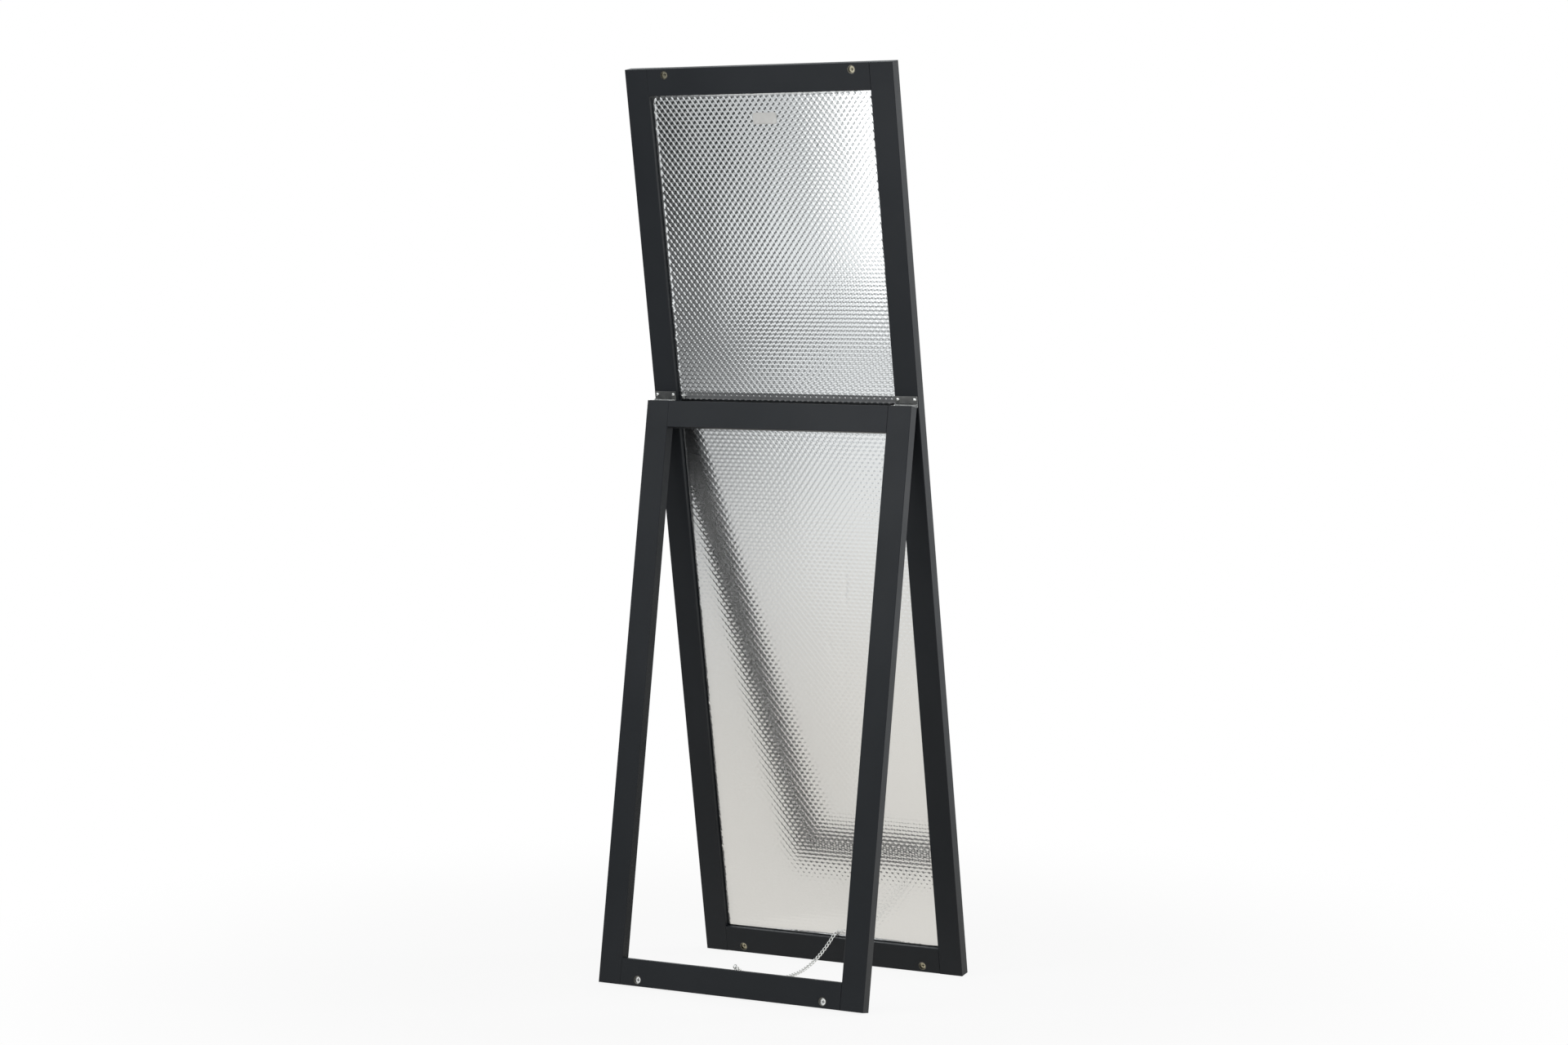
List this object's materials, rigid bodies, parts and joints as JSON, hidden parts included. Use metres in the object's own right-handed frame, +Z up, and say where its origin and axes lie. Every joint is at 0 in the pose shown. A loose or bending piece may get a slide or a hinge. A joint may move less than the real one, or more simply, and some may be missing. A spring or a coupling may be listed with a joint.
{
  "type": "floor mirror",
  "caption": "Full-length floor mirror leaning on a hinged stand frame at its back, held by a chain between its frames near the floor.",
  "frame": {"origin": "centre of the floor area that the object covers, at floor level, standing open", "axes": "+Z up, the mirror's face looks towards -Y, +X to the right as seen from the front"},
  "size_m": [0.52, 0.39, 1.5804],
  "materials": {
    "painted_wood": "satin",
    "mirror_glass": "polished",
    "foil_pad": "satin",
    "cam_metal": "satin",
    "bolt_metal": "satin",
    "dowel_wood": "matte",
    "hinge_metal": "satin",
    "screw_metal": "polished",
    "chain_metal": "polished"
  },
  "bodies": {
    "mirror": {"mirror_left_stile": "painted_wood", "mirror_right_stile": "painted_wood", "mirror_top_rail": "painted_wood", "mirror_bottom_rail": "painted_wood", "mirror_glass": "mirror_glass", "foil_backing_pad": "foil_pad", "mirror_cams": "cam_metal", "mirror_cam_bolts": "bolt_metal", "mirror_dowels": "dowel_wood", "left_hinge_mirror_leaf": "hinge_metal", "right_hinge_mirror_leaf": "hinge_metal", "left_hinge_pin": "hinge_metal", "right_hinge_pin": "hinge_metal", "left_mirror_leaf_screws": "screw_metal", "right_mirror_leaf_screws": "screw_metal", "mirror_chain_eye": "chain_metal", "chain_links": "chain_metal"},
    "stand": {"stand_left_stile": "painted_wood", "stand_right_stile": "painted_wood", "stand_top_rail": "painted_wood", "stand_bottom_rail": "painted_wood", "stand_cams": "cam_metal", "stand_cam_bolts": "bolt_metal", "stand_top_dowels": "dowel_wood", "stand_bottom_dowels": "dowel_wood", "left_hinge_stand_leaf": "hinge_metal", "right_hinge_stand_leaf": "hinge_metal", "left_stand_leaf_screws": "screw_metal", "right_stand_leaf_screws": "screw_metal", "stand_chain_eye": "chain_metal"}
  },
  "joints": [
    {"name": "stand_fold", "type": "hinge", "parent": "mirror", "child": "stand", "pos_m": [0, 0.00343, 1.00559], "axis": [1, 0, 0], "range_deg": [-19.3, 1.1], "deforming": ["chain_links"]}
  ]
}
